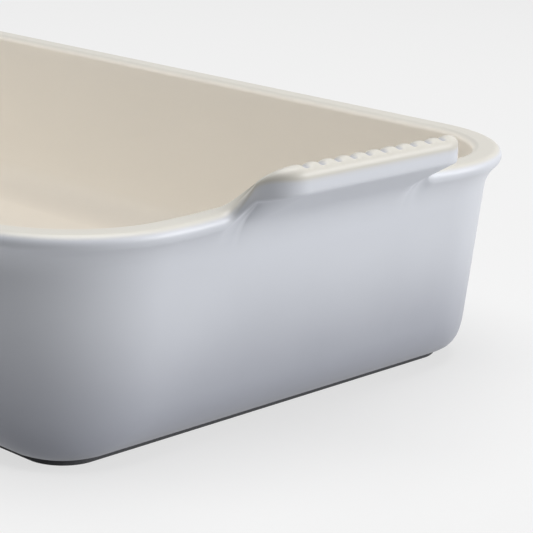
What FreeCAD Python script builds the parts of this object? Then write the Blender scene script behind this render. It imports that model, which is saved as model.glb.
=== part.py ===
import FreeCAD, Part
import math
import os
import Sketcher

# Driving dimensions of the dish: millimetres, degrees for lean, tilt and rise, and one count.
SIZES = {
    "rim_length": 365.0,           # over the lip, without the handles
    "rim_width": 230.0,            # over the lip
    "rim_height": 76.0,            # ground to the top of the lip
    "corner_radius": 48.5,         # in plan, at the outermost line of the lip
    "wall_thickness": 6.0,         # glazed wall, square to its face
    "wall_lean": 5.7,              # outward lean of the walls from upright
    "lip_overhang": 4.0,           # lip beyond the wall's face carried up to the rim
    "lip_radius": 2.8,             # outer nose of the lip
    "lip_edge_radius": 6.0,        # inner edge of the lip
    "cove_radius": 14.0,           # hollow under the lip
    "base_radius": 19.0,           # outer curve from wall to base
    "well_radius": 15.0,           # inner curve from wall to floor
    "floor_thickness": 7.3,        # glazed floor above the foot
    "floor_margin": 4.0,           # floor slab's edge inside the foot
    "foot_height": 1.2,
    "foot_width": 7.0,
    "foot_inset": 12.5,            # foot inside the wall's face carried down to the ground
    "glaze_thickness": 0.5,
    "bare_margin": 1.5,            # bare clay between the foot and the outer glaze
    "handle_tilt": 42.0,           # upward tilt of the wing's top
    "handle_reach": 18.5,          # upright outer face past the lip
    "handle_edge_height": 8.0,     # top of the lip to the lower edge of the outer face, before it is rounded
    "handle_rise": 31.0,           # upward slope of the wing's underside
    "handle_root": 7.6,            # run of the wing's underside into the wall, from the lip
    "handle_crest_radius": 3.5,    # upper edge of the outer face
    "handle_edge_radius": 1.5,     # lower edge of the outer face
    "handle_width": 86.0,          # across the wing
    "handle_corner_radius": 11.0,  # in plan, at the wing's outer corners
    "ridge_pitch": 6.9,            # between neighbouring grip grooves
    "groove_count": 10,
    "groove_radius": 3.0,
    "groove_depth": 0.9,
    "groove_length": 17.0,         # back from the wing's outer face, along its top
    "cut_overrun": 10.0,           # cutting shapes past what they cut
}

# Places that several pieces share, as expressions on the sheet.
WALL_RISE = "(sizes.rim_height * tan(sizes.wall_lean))"
HALF_LENGTH = f"(sizes.rim_length / 2 - sizes.lip_overhang - {WALL_RISE})"
HALF_WIDTH = f"(sizes.rim_width / 2 - sizes.lip_overhang - {WALL_RISE})"
GROUND_CORNER = f"(sizes.corner_radius - sizes.lip_overhang - {WALL_RISE})"
FLOOR_TOP = "(sizes.foot_height + sizes.floor_thickness)"
FLOOR_INSET = "(sizes.foot_inset + sizes.foot_width + sizes.floor_margin)"
SEAM = (
    f"({HALF_LENGTH} + (sizes.lip_edge_radius - sizes.wall_thickness) / cos(sizes.wall_lean)"
    " + (sizes.rim_height - sizes.lip_edge_radius) * tan(sizes.wall_lean))"
)
GLAZE = "sizes.glaze_thickness"
NO_INSET = "0"

# Marks of an edge's points in a sketch, and the sketch's own origin and level axis.
START, END, CENTRE = range(1, 4)
ORIGIN = (-1, 1)
LEVEL_AXIS = -1


def new_sheet(doc):
    """Spreadsheet that holds every driving dimension under its own name."""
    sheet = doc.addObject("Spreadsheet::Sheet", "sizes")
    for row, (name, value) in enumerate(SIZES.items(), start=1):
        sheet.set(f"A{row}", name)
        sheet.set(f"B{row}", str(value))
        sheet.setAlias(f"B{row}", name)
    doc.recompute()
    return sheet


def value(doc, expression):
    """Number that an expression on the sheet has now, for first guesses in a sketch."""
    result = doc.sizes.evalExpression(expression.replace("sizes.", ""))
    return float(getattr(result, "Value", result))


def vector(x, y):
    return FreeCAD.Vector(x, y, 0)


class Outline:
    """A closed outline in a sketch, drawn edge by edge and bound to the sheet."""

    def __init__(self, body, name, plane):
        self.doc = body.Document
        self.sketch = body.newObject("Sketcher::SketchObject", name)
        support = next(item for item in body.Origin.OriginFeatures if item.Role == plane)
        self.sketch.AttachmentSupport = (support, [""])
        self.sketch.MapMode = "FlatFace"

    def line(self, start, end):
        """Line, given as its number and the marks of its first and last points."""
        return self.sketch.addGeometry(Part.LineSegment(vector(*start), vector(*end))), START, END

    def arc(self, centre, radius, start, end):
        """Arc from one angle to the other; a falling angle runs clockwise."""
        circle = Part.Circle(vector(*centre), FreeCAD.Vector(0, 0, 1), radius)
        first, last = sorted((math.radians(start), math.radians(end)))
        number = self.sketch.addGeometry(Part.ArcOfCircle(circle, first, last))
        return (number, START, END) if start < end else (number, END, START)

    def add(self, kind, *where):
        return self.sketch.addConstraint(Sketcher.Constraint(kind, *where))

    def bind(self, kind, *where, to):
        """Dimension that follows an expression on the sheet."""
        size = value(self.doc, to)
        if kind == "Angle":
            size = math.radians(size)
        index = self.sketch.addConstraint(Sketcher.Constraint(kind, *where, size))
        self.sketch.setExpression(f"Constraints[{index}]", to)

    def join(self, first, second, tangent=False):
        """Last point of one edge meets the first point of the next."""
        kind = "Tangent" if tangent else "Coincident"
        self.add(kind, first[0], first[2], second[0], second[1])

    def place(self, edge, mark, x=None, y=None):
        """Distance of a point from the sketch's two axes."""
        if x is not None:
            self.bind("DistanceX", *ORIGIN, edge[0], mark, to=x)
        if y is not None:
            self.bind("DistanceY", *ORIGIN, edge[0], mark, to=y)

    def finish(self):
        self.doc.recompute()
        if self.sketch.solve() != 0:
            raise ValueError(f"{self.sketch.Name} has no solution")
        return self.sketch


def lean_line(outline, start, end, ground):
    """Wall line at the wall's lean that would meet the ground at a given place."""
    line = outline.line(start, end)
    foot = outline.sketch.addGeometry(Part.Point(vector(value(outline.doc, ground), 0)))
    rising = end[1] > start[1]
    outline.bind("Angle", line[0], to="(90 - sizes.wall_lean) * 1 deg" if rising
                 else "(-90 - sizes.wall_lean) * 1 deg")
    outline.add("PointOnObject", foot, START, LEVEL_AXIS)
    outline.bind("DistanceX", *ORIGIN, foot, START, to=ground)
    outline.add("PointOnObject", foot, START, line[0])
    return line


def outer_side(outline, inset, lower_x):
    """Base curve from lower_x, wall, cove, nose and top of the lip, inset from the glazed face."""
    doc = outline.doc
    lean = value(doc, "sizes.wall_lean")
    ground = f"({HALF_LENGTH} - {inset} / cos(sizes.wall_lean))"
    base_z = "(sizes.foot_height + sizes.base_radius)"
    base_radius = f"(sizes.base_radius - {inset})"
    base_x = f"({HALF_LENGTH} + {base_z} * tan(sizes.wall_lean) - sizes.base_radius / cos(sizes.wall_lean))"
    nose_x = "(sizes.rim_length / 2 - sizes.lip_radius)"
    nose_z = "(sizes.rim_height - sizes.lip_radius)"
    nose_radius = f"(sizes.lip_radius - {inset})"
    cove_radius = f"(sizes.cove_radius + {inset})"

    # The cove's centre lies off the wall by the cove's radius and touches the nose.
    across = FreeCAD.Vector(math.cos(math.radians(lean)), -math.sin(math.radians(lean)), 0)
    along = FreeCAD.Vector(math.sin(math.radians(lean)), math.cos(math.radians(lean)), 0)
    nose = vector(value(doc, nose_x), value(doc, nose_z))
    start = vector(value(doc, HALF_LENGTH), 0) + across * value(doc, "sizes.cove_radius") - nose
    reach = value(doc, "sizes.cove_radius + sizes.lip_radius")
    rise = -start.dot(along) - math.sqrt(start.dot(along) ** 2 - start.dot(start) + reach ** 2)
    cove = nose + start + along * rise
    touch = math.degrees(math.atan2(cove.y - nose.y, cove.x - nose.x))

    base_centre = (value(doc, base_x), value(doc, base_z))
    wall_start = vector(*base_centre) + across * value(doc, base_radius)
    wall_end = cove - across * value(doc, cove_radius)
    top_z = value(doc, f"sizes.rim_height - {inset}")

    low = math.acos((value(doc, lower_x) - base_centre[0]) / value(doc, base_radius))
    base = outline.arc(base_centre, value(doc, base_radius), -math.degrees(low), -lean)
    wall = lean_line(outline, (wall_start.x, wall_start.y), (wall_end.x, wall_end.y), ground)
    hollow = outline.arc((cove.x, cove.y), value(doc, cove_radius), 180.0 - lean, 180.0 + touch)
    round_nose = outline.arc((nose.x, nose.y), value(doc, nose_radius), touch, 90.0)
    top = outline.line((nose.x, top_z), (value(doc, SEAM), top_z))
    edges = [base, wall, hollow, round_nose, top]
    for first, second in zip(edges, edges[1:]):
        outline.join(first, second, tangent=True)
    outline.bind("Radius", base[0], to=base_radius)
    outline.place(base, CENTRE, y=base_z)
    outline.place(base, START, x=lower_x)
    outline.bind("Radius", hollow[0], to=cove_radius)
    outline.bind("Radius", round_nose[0], to=nose_radius)
    outline.place(round_nose, CENTRE, x=nose_x, y=nose_z)
    outline.add("Horizontal", top[0])
    return edges


def inner_side(outline, inset):
    """Inner edge of the lip, inner wall, well curve and floor, inset from the glazed face."""
    doc = outline.doc
    lean = value(doc, "sizes.wall_lean")
    ground = f"({HALF_LENGTH} + ({inset} - sizes.wall_thickness) / cos(sizes.wall_lean))"
    edge_radius = f"(sizes.lip_edge_radius - {inset})"
    edge_z = "(sizes.rim_height - sizes.lip_edge_radius)"
    well_radius = f"(sizes.well_radius + {inset})"
    well_z = f"({FLOOR_TOP} + sizes.well_radius)"
    well_x = (
        f"({HALF_LENGTH} - (sizes.wall_thickness + sizes.well_radius) / cos(sizes.wall_lean)"
        f" + {well_z} * tan(sizes.wall_lean))"
    )
    floor_z = f"({FLOOR_TOP} - {inset})"
    floor_x = f"({HALF_LENGTH} - {FLOOR_INSET})"

    across = FreeCAD.Vector(math.cos(math.radians(lean)), -math.sin(math.radians(lean)), 0)
    edge_centre = (value(doc, SEAM), value(doc, edge_z))
    well_centre = (value(doc, well_x), value(doc, well_z))
    wall_start = vector(*edge_centre) - across * value(doc, edge_radius)
    wall_end = vector(*well_centre) + across * value(doc, well_radius)

    edge = outline.arc(edge_centre, value(doc, edge_radius), 90.0, 180.0 - lean)
    wall = lean_line(outline, (wall_start.x, wall_start.y), (wall_end.x, wall_end.y), ground)
    well = outline.arc(well_centre, value(doc, well_radius), -lean, -90.0)
    floor = outline.line((well_centre[0], value(doc, floor_z)), (value(doc, floor_x), value(doc, floor_z)))
    edges = [edge, wall, well, floor]
    for first, second in zip(edges, edges[1:]):
        outline.join(first, second, tangent=True)
    outline.bind("Radius", edge[0], to=edge_radius)
    outline.bind("Radius", well[0], to=well_radius)
    outline.add("Horizontal", floor[0])
    outline.place(floor, END, x=floor_x, y=floor_z)
    return edges


def rounded_rectangle(body, name, half_length, half_width, radius):
    """Closed rounded rectangle about the origin, which starts on the +X axis."""
    outline = Outline(body, name, "XY_Plane")
    doc = body.Document
    x, y, r = value(doc, half_length), value(doc, half_width), value(doc, radius)
    edges = [
        outline.line((x, 0), (x, y - r)),
        outline.arc((x - r, y - r), r, 0.0, 90.0),
        outline.line((x - r, y), (r - x, y)),
        outline.arc((r - x, y - r), r, 90.0, 180.0),
        outline.line((-x, y - r), (-x, r - y)),
        outline.arc((r - x, r - y), r, 180.0, 270.0),
        outline.line((r - x, -y), (x - r, -y)),
        outline.arc((x - r, r - y), r, 270.0, 360.0),
        outline.line((x, r - y), (x, 0)),
    ]
    for first, second in zip(edges, edges[1:]):
        outline.join(first, second, tangent=True)
    outline.join(edges[-1], edges[0])
    for upright in (0, 4, 8):
        outline.add("Vertical", edges[upright][0])
    for level in (2, 6):
        outline.add("Horizontal", edges[level][0])
    for corner in (1, 3, 5, 7):
        outline.bind("Radius", edges[corner][0], to=radius)
    outline.place(edges[0], START, x=half_length)
    outline.add("PointOnObject", edges[0][0], START, LEVEL_AXIS)
    outline.place(edges[2], START, y=half_width)
    outline.add("Symmetric", edges[1][0], CENTRE, edges[5][0], CENTRE, *ORIGIN)
    return outline.finish()


def sweep(body, section):
    """Carry a wall section round the line where the outer wall faces would meet the ground."""
    path = rounded_rectangle(body, f"{body.Name}_path", HALF_LENGTH, HALF_WIDTH, GROUND_CORNER)
    pipe = body.newObject("PartDesign::AdditivePipe", f"{body.Name}_wall")
    pipe.Profile = section
    pipe.Spine = path
    body.Document.recompute()


def floor_slab(body, bottom, thickness):
    """Level slab inside the swept wall section, from its bottom upwards."""
    sketch = rounded_rectangle(
        body, f"{body.Name}_floor_outline", f"({HALF_LENGTH} - {FLOOR_INSET})",
        f"({HALF_WIDTH} - {FLOOR_INSET})", f"({GROUND_CORNER} - {FLOOR_INSET})")
    sketch.setExpression("AttachmentOffset.Base.z", bottom)
    pad = body.newObject("PartDesign::Pad", f"{body.Name}_floor")
    pad.Profile = sketch
    pad.setExpression("Length", thickness)
    body.Document.recompute()


def stoneware_tub(doc):
    """Clay tub: a wall section with its foot, carried round the floor slab."""
    body = doc.addObject("PartDesign::Body", "stoneware_tub")
    outline = Outline(body, "tub_section", "XZ_Plane")
    foot_outer = f"({HALF_LENGTH} - sizes.foot_inset)"
    foot_inner = f"({foot_outer} - sizes.foot_width)"
    outer = outer_side(outline, GLAZE, foot_outer)
    inner = inner_side(outline, GLAZE)
    outline.join(outer[-1], inner[0], tangent=True)

    floor_x = value(doc, f"{HALF_LENGTH} - {FLOOR_INSET}")
    floor_z = value(doc, f"{FLOOR_TOP} - {GLAZE}")
    under = value(doc, "sizes.foot_height")
    inside, outside = value(doc, foot_inner), value(doc, foot_outer)
    corners = [
        (floor_x, floor_z), (floor_x, under), (inside, under),
        (inside, 0), (outside, 0), (outside, under),
    ]
    foot = [outline.line(start, end) for start, end in zip(corners, corners[1:])]
    chain = [inner[-1]] + foot + [outer[0]]
    for first, second in zip(chain, chain[1:]):
        outline.join(first, second)
    for upright in (0, 2, 4):
        outline.add("Vertical", foot[upright][0])
    outline.add("Horizontal", foot[1][0])
    outline.place(foot[1], END, x=foot_inner, y="sizes.foot_height")
    outline.add("PointOnObject", foot[3][0], START, LEVEL_AXIS)
    outline.add("PointOnObject", foot[3][0], END, LEVEL_AXIS)
    sweep(body, outline.finish())
    floor_slab(body, "sizes.foot_height", f"sizes.floor_thickness - {GLAZE}")
    return body


def close_strip(outline, face, back):
    """Short lines that close a glaze strip between its face and its back."""
    for face_edge, back_edge, mark in ((face[0], back[0], START), (face[-1], back[-1], END)):
        ends = [outline.sketch.getPoint(edge[0], edge[mark]) for edge in (face_edge, back_edge)]
        line = outline.line(*((end.x, end.y) for end in ends))
        outline.add("Coincident", face_edge[0], face_edge[mark], line[0], START)
        outline.add("Coincident", back_edge[0], back_edge[mark], line[0], END)


def liner_glaze(doc):
    """Cream coat on the floor, the inner wall and the inner edge of the lip."""
    body = doc.addObject("PartDesign::Body", "liner_glaze")
    outline = Outline(body, "liner_section", "XZ_Plane")
    sides = [inner_side(outline, inset) for inset in (NO_INSET, GLAZE)]
    for edge in (side[0] for side in sides):
        outline.place(edge, CENTRE, y="sizes.rim_height - sizes.lip_edge_radius")
        outline.add("Vertical", edge[0], edge[1], edge[0], CENTRE)
    close_strip(outline, *sides)
    sweep(body, outline.finish())
    floor_slab(body, f"{FLOOR_TOP} - {GLAZE}", GLAZE)
    return body


def wall_glaze(doc):
    """Blue-grey coat from the top of the lip down to the bare clay above the foot."""
    body = doc.addObject("PartDesign::Body", "wall_glaze")
    outline = Outline(body, "wall_glaze_section", "XZ_Plane")
    lower_x = f"({HALF_LENGTH} - sizes.foot_inset + sizes.bare_margin)"
    sides = [outer_side(outline, inset, lower_x) for inset in (NO_INSET, GLAZE)]
    for top in (side[-1] for side in sides):
        outline.place(top, END, x=SEAM)
    close_strip(outline, *sides)
    sweep(body, outline.finish())
    return body


# Places of the wing's outer face, its lower edge and the end of its underside, and the run up its top to the face.
WING_FACE = "(sizes.rim_length / 2 + sizes.handle_reach)"
WING_EDGE = "(sizes.rim_height + sizes.handle_edge_height)"
WING_ROOT = "(sizes.rim_length / 2 - sizes.handle_root)"
WING_RUN = f"(({WING_FACE} - {SEAM}) / cos(sizes.handle_tilt))"


def wing_section(doc, name, inset):
    """Wing seen from the side: sloping top, upright outer face and rising underside, padded across the dish."""
    body = doc.addObject("PartDesign::Body", f"{name}_section")
    outline = Outline(body, f"{name}_section_outline", "XZ_Plane")
    start_x = f"{SEAM} + {inset} * tan(sizes.handle_tilt / 2)"
    start_z = f"sizes.rim_height - {inset}"
    face_x = f"{WING_FACE} - {inset}"
    root_z = (
        f"{WING_EDGE} + {inset} / cos(sizes.handle_rise)"
        " - (sizes.handle_reach + sizes.handle_root) * tan(sizes.handle_rise)"
    )
    crest_radius = f"sizes.handle_crest_radius - {inset}"
    edge_radius = f"sizes.handle_edge_radius - {inset}"

    tilt, rise = value(doc, "sizes.handle_tilt"), value(doc, "sizes.handle_rise")
    first = vector(value(doc, start_x), value(doc, start_z))
    last = vector(value(doc, WING_ROOT), value(doc, root_z))
    face, crest, edge = (value(doc, item) for item in (face_x, crest_radius, edge_radius))
    down = vector(math.sin(math.radians(tilt)), -math.cos(math.radians(tilt)))
    up = vector(-math.sin(math.radians(rise)), math.cos(math.radians(rise)))
    high = vector(face - crest, first.y + ((face - crest - first.x) * down.x - crest) / -down.y)
    low = vector(face - edge, last.y + (edge - (face - edge - last.x) * up.x) / up.y)
    top_end, under_start = high - down * crest, low - up * edge

    edges = [
        outline.line((first.x, first.y), (top_end.x, top_end.y)),
        outline.arc((high.x, high.y), crest, tilt + 90.0, 0.0),
        outline.line((face, high.y), (face, low.y)),
        outline.arc((low.x, low.y), edge, 0.0, rise - 90.0),
        outline.line((under_start.x, under_start.y), (last.x, last.y)),
    ]
    for before, after in zip(edges, edges[1:]):
        outline.join(before, after, tangent=True)
    back = outline.line((last.x, last.y), (first.x, first.y))
    outline.join(edges[-1], back)
    outline.join(back, edges[0])
    outline.place(edges[0], START, x=start_x, y=start_z)
    outline.bind("Angle", edges[0][0], to="sizes.handle_tilt * 1 deg")
    outline.bind("Radius", edges[1][0], to=crest_radius)
    outline.add("Vertical", edges[2][0])
    outline.place(edges[2], START, x=face_x)
    outline.bind("Radius", edges[3][0], to=edge_radius)
    outline.bind("Angle", edges[4][0], to="(sizes.handle_rise - 180) * 1 deg")
    outline.place(edges[4], END, x=WING_ROOT, y=root_z)
    pad = body.newObject("PartDesign::Pad", f"{name}_section_pad")
    pad.Profile = outline.finish()
    pad.SideType = "Symmetric"
    pad.setExpression("Length", "sizes.handle_width + 2 * sizes.cut_overrun")
    doc.recompute()
    return body


def wing_plan(doc, name, inset):
    """Wing seen from above: as wide as its face, with rounded outer corners."""
    body = doc.addObject("PartDesign::Body", f"{name}_plan")
    outline = Outline(body, f"{name}_plan_outline", "XY_Plane")
    back_x = f"({SEAM} - sizes.cut_overrun)"
    side_y = f"(sizes.handle_width / 2 - {inset})"
    face_x = f"({WING_FACE} - {inset})"
    radius = f"(sizes.handle_corner_radius - {inset})"

    x, y, end_x, r = (value(doc, item) for item in (back_x, side_y, face_x, radius))
    edges = [
        outline.line((x, -y), (end_x - r, -y)),
        outline.arc((end_x - r, r - y), r, -90.0, 0.0),
        outline.line((end_x, r - y), (end_x, y - r)),
        outline.arc((end_x - r, y - r), r, 0.0, 90.0),
        outline.line((end_x - r, y), (x, y)),
    ]
    for before, after in zip(edges, edges[1:]):
        outline.join(before, after, tangent=True)
    back = outline.line((x, y), (x, -y))
    outline.join(edges[-1], back)
    outline.join(back, edges[0])
    outline.add("Vertical", edges[2][0])
    outline.place(edges[2], START, x=face_x)
    outline.place(edges[0], START, x=back_x)
    outline.add("Symmetric", edges[0][0], START, edges[4][0], END, LEVEL_AXIS)
    outline.place(edges[4], END, y=side_y)
    for corner in (edges[1], edges[3]):
        outline.bind("Radius", corner[0], to=radius)
    pad = body.newObject("PartDesign::Pad", f"{name}_plan_pad")
    pad.Profile = outline.finish()
    pad.setExpression("Length", f"{WING_EDGE} + sizes.handle_reach")
    doc.recompute()
    return body


def grip_grooves(doc, name, inset):
    """Row of round-bottomed grooves that run up the wing to its outer edge."""
    start = f"({WING_RUN} - sizes.groove_length - {inset})"
    lift = "(sizes.groove_radius - sizes.groove_depth)"
    grooves = []
    for number in range(SIZES["groove_count"]):
        groove = doc.addObject("Part::Cylinder", f"{name}_groove")
        groove.setExpression("Radius", f"sizes.groove_radius + {inset}")
        groove.setExpression("Height", "sizes.groove_length + sizes.cut_overrun")
        groove.Placement.Rotation.Axis = FreeCAD.Vector(0, 1, 0)
        groove.setExpression("Placement.Rotation.Angle", "(90 - sizes.handle_tilt) * 1 deg")
        groove.setExpression("Placement.Base.x", f"{SEAM} + {start} * cos(sizes.handle_tilt)"
                             f" - {lift} * sin(sizes.handle_tilt)")
        groove.setExpression("Placement.Base.y",
                             f"({number} - (sizes.groove_count - 1) / 2) * sizes.ridge_pitch")
        groove.setExpression("Placement.Base.z", f"sizes.rim_height + {start} * sin(sizes.handle_tilt)"
                             f" + {lift} * cos(sizes.handle_tilt)")
        grooves.append(groove)
    row = doc.addObject("Part::MultiFuse", f"{name}_grooves")
    row.Shapes = grooves
    return row


def boolean(doc, kind, name, base, tool):
    result = doc.addObject(kind, name)
    result.Base = base
    result.Tool = tool
    doc.recompute()
    return result


def wing(doc, name, inset, tub):
    """Whole wing, inset from its glazed face, down to the clay of the tub."""
    blank = boolean(doc, "Part::Common", f"{name}_blank",
                    wing_section(doc, name, inset), wing_plan(doc, name, inset))
    ridged = boolean(doc, "Part::Cut", f"{name}_ridged", blank, grip_grooves(doc, name, inset))
    return boolean(doc, "Part::Cut", name, ridged, tub)


def other_end(doc, name, source):
    """The same shape at the far end of the dish."""
    mirror = doc.addObject("Part::Mirroring", name)
    mirror.Source = source
    mirror.Normal = FreeCAD.Vector(1, 0, 0)
    doc.recompute()
    return mirror


def outer_glaze(doc, tub, handles):
    """Blue-grey coat in one piece over the wall, the lip and both handles."""
    front = wing(doc, "glazed_wing_front", NO_INSET, tub)
    coat = doc.addObject("Part::MultiFuse", "coat_over_clay")
    coat.Shapes = [wall_glaze(doc), front, other_end(doc, "glazed_wing_rear", front)]
    doc.recompute()
    first = boolean(doc, "Part::Cut", "coat_without_front_clay", coat, handles[0])
    return boolean(doc, "Part::Cut", "outer_glaze", first, handles[1])


def write_parts(doc, pieces):
    """Check every object and write each piece to its own file."""
    for item in doc.Objects:
        if "Invalid" in item.State or "Error" in item.State:
            raise ValueError(f"{item.Name} failed: {item.State}")
    for piece in pieces:
        if piece.Shape.isNull() or not piece.Shape.isValid():
            raise ValueError(f"{piece.Label} has no valid shape")
    os.makedirs("parts", exist_ok=True)
    for piece in pieces:
        piece.Shape.exportStep(f"parts/{piece.Label}.step")
        print(piece.Label, len(piece.Shape.Solids), round(piece.Shape.Volume), piece.Shape.BoundBox)


def main():
    doc = FreeCAD.newDocument("lasagna_dish")
    new_sheet(doc)
    tub = stoneware_tub(doc)
    front = wing(doc, "handle_front", GLAZE, tub)
    rear = other_end(doc, "handle_rear", front)
    pieces = [tub, front, rear, liner_glaze(doc), outer_glaze(doc, tub, (front, rear))]
    doc.recompute()
    write_parts(doc, pieces)


main()
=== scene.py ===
"""Glazed stoneware baking dish with a ridged wing handle at each end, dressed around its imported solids."""

import math

import bpy
import numpy as np
from mathutils import Matrix, Vector


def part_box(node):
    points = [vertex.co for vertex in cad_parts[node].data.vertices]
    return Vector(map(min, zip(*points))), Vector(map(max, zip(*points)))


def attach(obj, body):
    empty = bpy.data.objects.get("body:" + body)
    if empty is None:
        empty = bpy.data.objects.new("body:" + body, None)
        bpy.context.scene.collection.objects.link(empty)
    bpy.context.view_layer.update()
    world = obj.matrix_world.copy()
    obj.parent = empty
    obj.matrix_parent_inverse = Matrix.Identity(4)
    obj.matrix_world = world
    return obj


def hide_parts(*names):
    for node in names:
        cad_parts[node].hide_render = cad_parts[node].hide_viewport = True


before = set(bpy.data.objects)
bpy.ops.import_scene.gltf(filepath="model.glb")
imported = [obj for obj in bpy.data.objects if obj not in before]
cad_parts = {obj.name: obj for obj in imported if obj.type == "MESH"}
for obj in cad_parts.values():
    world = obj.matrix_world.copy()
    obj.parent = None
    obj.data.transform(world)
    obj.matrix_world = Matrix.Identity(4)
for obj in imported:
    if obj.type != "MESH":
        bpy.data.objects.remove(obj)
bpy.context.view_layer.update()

bl_info = {
    "name": "Stoneware Baking Dish",
    "version": (1, 0, 0),
    "blender": (4, 5, 0),
    "location": "3D View > Sidebar > Dish",
    "description": "Glaze coats, clay and studio for a rectangular baking dish",
    "category": "Object",
}

MM = 0.001
BODY = "root"

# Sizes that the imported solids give
COAT_LOW, COAT_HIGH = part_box("outer_glaze")
LINER_LOW, LINER_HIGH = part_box("liner_glaze")
RIM_WIDTH = COAT_HIGH.y - COAT_LOW.y
SEAM_INSET = (RIM_WIDTH - LINER_HIGH.y + LINER_LOW.y) / 2
RIM_LENGTH = LINER_HIGH.x - LINER_LOW.x + 2 * SEAM_INSET
RIM_HEIGHT = LINER_HIGH.z

# Rows of points up the outer section and down the inner one
BASE_ROWS = 9
WALL_ROWS = 7
UNDER_ROWS = 18
COVE_POINTS = 24
LOWER_EDGE_ROWS = 7
FACE_ROWS = 3
CREST_ROWS = 9
SLOPE_ROWS = 20
LIP_ROWS = 14
LINER_WALL_ROWS = 6
WELL_ROWS = 12
# How much finer a rounding is drawn before its rows are spread evenly
FINER = 3

# Stations round the plan
CORNER_STATIONS = 22
SIDE_STATIONS = 14
FAIRING_STATIONS = 16
ROOT_STATIONS = 20
WING_SIDE_STATIONS = 2
WING_CORNER_STATIONS = 16
STATIONS_PER_RIDGE = 12

# Shares that the coats' points carry: ridged grip, grip valley darkened with painted shade and pooled glaze,
# glaze thinned to white
GRIP = "grip"
POOLED_VALLEY_SHADE = "pooled_and_shaded"
THIN = "thin_glaze"

# Angles on the crest between which the valleys deepen, and the share of their length in which they end
GRIP_START = 0.75
GRIP_FULL = 1.15
RIDGE_FADE = 0.25
# Fade from white to blue grey below the crests and the lip, and how many fades under the lip's top it ends
WHITE_FADE = 1.5 * MM
LIP_FADES = 1.1
# Largest share of a wing's underside that the hollow at its root takes
COVE_LIMIT = 0.8
# Room between the clay and its coats, and the share of wing at which a handle's clay begins
CLEARANCE = 0.05 * MM
CORE_START = 0.5
# Share of wing in which the tub's clay is cut back, and share of the lip's overhang that it keeps there
CUT_BACK = 0.25
LIP_STUB = 0.03
# Angle between faces from which a rim stays sharp
SHARP_ANGLE = math.radians(50)

# Fired satin glaze: range of roughness, index of refraction, detail of its clouds,
# and detail, strength and height of its fine ripple
SATIN_ROUGHNESS = (0.36, 0.46)
GLAZE_IOR = 1.52
CLOUD_DETAIL = 3.0
RIPPLE_DETAIL = 2.0
RIPPLE_STRENGTH = 0.12
RIPPLE_HEIGHT = 0.1 * MM
# Outer glaze: patches of its clouds and ripple, the height and the share of the rim's height between which
# it turns paler out of its painted shade towards the base, and how far that wavers
OUTER_CLOUD = 45 * MM
OUTER_RIPPLE = 5 * MM
BASE_SHADE_START = 4 * MM
BASE_SHADE_END = 0.75
BASE_SHADE_WAVER = 6 * MM
# Share of a valley from which it darkens with painted shade and pooled glaze, and how much of the lower
# colour it takes at most
POOLED_SHADE_START = 0.3
POOLED_SHADE_LIMIT = 0.8
# Liner glaze: patches of its clouds and ripple, and how dark the clouds are and how much they show
LINER_CLOUD = 60 * MM
LINER_RIPPLE = 6 * MM
CLOUD_SHADE = 0.82
CLOUD_LIMIT = 0.14
# Bare clay: patches, detail, strength and height of its grit, its roughness,
# and the range of grit in which it turns to specks and how dark they are
GRIT = 0.8 * MM
GRIT_DETAIL = 4.0
GRIT_STRENGTH = 0.4
GRIT_HEIGHT = 0.2 * MM
CLAY_ROUGHNESS = 0.85
SPECK_RANGE = (0.35, 0.7)
SPECK_SHADE = 0.6

# Floor: half of its side in metres, the grey that lights the dish, and the glow and grey that the camera sees
FLOOR_REACH = 6.0
FLOOR_BOUNCE = 0.51
FLOOR_GLOW = 0.67
FLOOR_SHADE = 0.18
# World: the strength that lights the dish, and the one that the camera sees
WORLD_LIGHT = 0.1
WORLD_SEEN = 0.7
# Nearest distance that the camera shows, in metres
CLIP_START = 0.05


def size(name, description, default):
    """A length that a user may change, in metres."""
    return bpy.props.FloatProperty(
        name=name, description=description, default=default, unit="LENGTH", precision=4
    )


def angle(name, description, degrees):
    """An angle that a user may change, from its value in degrees."""
    return bpy.props.FloatProperty(
        name=name, description=description, default=math.radians(degrees), unit="ROTATION"
    )


def tint(name, description, code):
    """A colour that a user may change, from its sRGB hex value."""
    return bpy.props.FloatVectorProperty(
        name=name, description=description, default=linear(code), subtype="COLOR", size=3, min=0.0, max=1.0
    )


def linear(code):
    """Linear RGB from an sRGB hex value such as C8CCD6."""
    shares = [int(code[place:place + 2], 16) / 255 for place in (0, 2, 4)]
    return tuple(s / 12.92 if s <= 0.04045 else ((s + 0.055) / 1.055) ** 2.4 for s in shares)


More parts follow.
